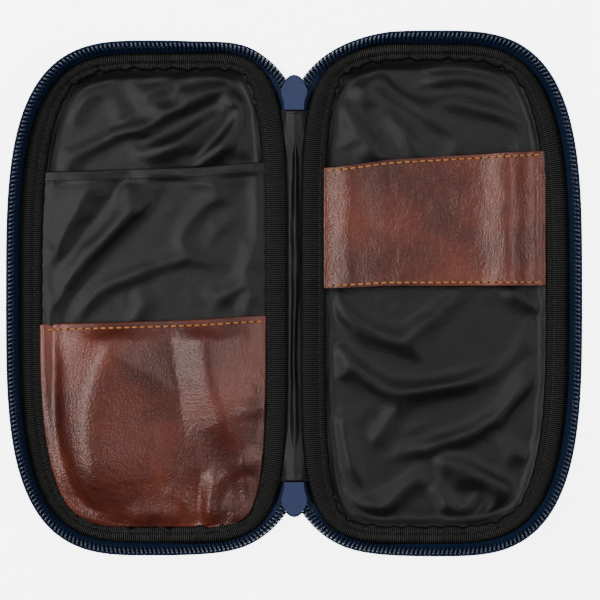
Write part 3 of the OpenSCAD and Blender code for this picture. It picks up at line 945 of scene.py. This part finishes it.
def leather_pocket():
    """The puffed leather pocket on the left."""
    mouth = leather_high[1] + 0.3
    x, y = panel_grid(-PANEL_HALF + 0.5, mouth, 1.2, 3.1)
    z, free = well_height(x, y, RIM_Z + 1.2, RIM_Z - 0.3)
    u = (x - PANEL_NEAR) / (PANEL_FAR - PANEL_NEAR)
    down = (mouth - y) / (mouth + PANEL_HALF)
    puff = np.sin(math.pi * np.clip(u, 0, 1)) ** 0.7
    puff = puff * smooth(down / 0.14 + 0.25) * smooth((1 - down) / 0.3)
    creased = folds(x, y, SHOULDERS, 5.0) + 0.8 * folds(x, y, PINCHES)
    z = z + 1.6 * puff + creased * smooth(down / 0.10)
    depth = inside(x, y)
    outer = smooth((u - 0.62) / 0.2)
    z = z - 1.7 * outer * np.exp(-((depth - 6.5) / 3.2) ** 2)
    z = z + 0.6 * outer * np.exp(-((depth - 2.0) / 2.0) ** 2)
    z = z - 2.2 * np.exp(-((x - 25) / 6.5) ** 2 - ((y + 86) / 8.5) ** 2)
    z = z - 1.4 * np.exp(-((x - 43) / 3.4) ** 2 - ((y + 92) / 12.0) ** 2)
    sculpted = z
    x, y, z = settle(x, y, z, 0.004, RIM_Z - 1.0, 25.0, 0.0, 0.4, 12)
    z = soften(0.3 * z + 0.7 * sculpted, 1 - free, 1)
    piece = panel("left_puffed_leather_pocket", LEFT, x, y, z, brown_leather, 1.1)
    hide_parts("left_leather_pocket")
    sewn = stitch_line(x, y, z, 2.6, *TAN_STITCH)
    row = stitches("left_leather_pocket_stitches", sewn, tan_thread, LEFT, *TAN_THREAD)
    bends(row)
    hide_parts("left_pocket_thread")


def leather_band():
    """The wide leather band on the right, open above and below."""
    low, high = band_low[1], band_high[1] - 2.6
    spacing = 0.9
    rows = int((high - low) / spacing) + 1
    columns = int((PANEL_FAR - PANEL_NEAR) / spacing) + 1
    v, u = np.meshgrid(np.linspace(0, 1, rows), np.linspace(0, 1, columns), indexing="ij")
    near, far = PANEL_NEAR + 0.6, PANEL_FAR - 1.2
    x = near + (far - near) * u
    y = low + (high - 3.0 + 5.6 * u - low) * v
    depth = np.minimum(x - near, far - x)
    z = RIM_Z - 0.4 + 1.3 * smooth(depth / 12.0)
    z = z + 0.8 * np.exp(-((x - far + 2.6) / 1.5) ** 2)
    z = z + 3.4 * np.exp(-((x - 95) / 10.0) ** 2 - (np.maximum(x - 95, 0) / 7.5) ** 2)
    z = z + 0.9 * np.exp(-((x - 24) / 9.0) ** 2)
    z = z - 0.6 * np.exp(-((x - 42) / 6.0) ** 2) * (0.4 + 0.6 * v)
    z = z + rumple(x, y, 33.0, 26, 0.35, (1.5, 1), 0)
    piece = panel("right_wide_leather_band", RIGHT, x, y, z, brown_leather, 1.1)
    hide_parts("right_leather_band")
    lines = (stitch_line(x, y, z, 1.5, *TAN_STITCH, top=False)
             + stitch_line(x, y, z, 1.6, *TAN_STITCH))
    thread = stitches("right_leather_band_stitches", lines, tan_thread, RIGHT, *TAN_THREAD)
    bends(thread)
    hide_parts("right_band_thread")


def hidden_foam():
    """The CAD foam boards, which the cloth covers."""
    for node in ("left_foam", "right_foam", "spine_foam"):
        data = frame["nodes"][node].data
        data.materials.clear()
        data.materials.append(foam)


# ---------------------------------------------------------------- camera, floor and light

FLOOR_GLOW = 5.6


def studio():
    """A camera straight above, a pale floor that glows, and three strip lights."""
    distance, width = 1.2, 0.264
    camera = bpy.data.cameras.new("camera")
    camera.lens = camera.sensor_width * distance / width
    camera.clip_end = 10
    eye = bpy.data.objects.new("camera", camera)
    eye.location = (0.0026, -0.0018, distance + 0.016)
    bpy.context.collection.objects.link(eye)
    bpy.context.scene.camera = eye

    bpy.ops.mesh.primitive_plane_add(size=6)
    floor = bpy.context.object
    floor.name = "floor"
    glowing = shader("floor", (0.86, 0.86, 0.86), 0.9, Emission_Color=(1, 1, 1, 1),
                     Emission_Strength=FLOOR_GLOW)[0]
    floor.data.materials.append(glowing)

    world = bpy.data.worlds.new("studio")
    bpy.context.scene.world = world
    world.use_nodes = True
    world.node_tree.nodes["Background"].inputs["Color"].default_value = (1, 1, 1, 1)
    world.node_tree.nodes["Background"].inputs["Strength"].default_value = 0.12

    def area(name, place_m, size, power):
        light = bpy.data.lights.new(name, "AREA")
        light.shape = "RECTANGLE"
        light.size, light.size_y = size
        light.energy = power
        lamp = bpy.data.objects.new(name, light)
        lamp.location = place_m
        lamp.rotation_euler = (-Vector(place_m)).to_track_quat("-Z", "Y").to_euler()
        bpy.context.collection.objects.link(lamp)

    area("left", (-0.70, 0.12, 0.98), (0.9, 0.15), 14.0)
    area("right", (0.68, 0.12, 0.98), (0.9, 0.15), 7.0)
    area("top", (0.0, 0.95, 0.75), (0.7, 0.22), 1.6)


studio()
hidden_foam()
metal()
covers()
spine()
for each in (LEFT, RIGHT):
    lining(each)
slip_pocket()
leather_pocket()
leather_band()
bindings()
binding_stitches()
zips()
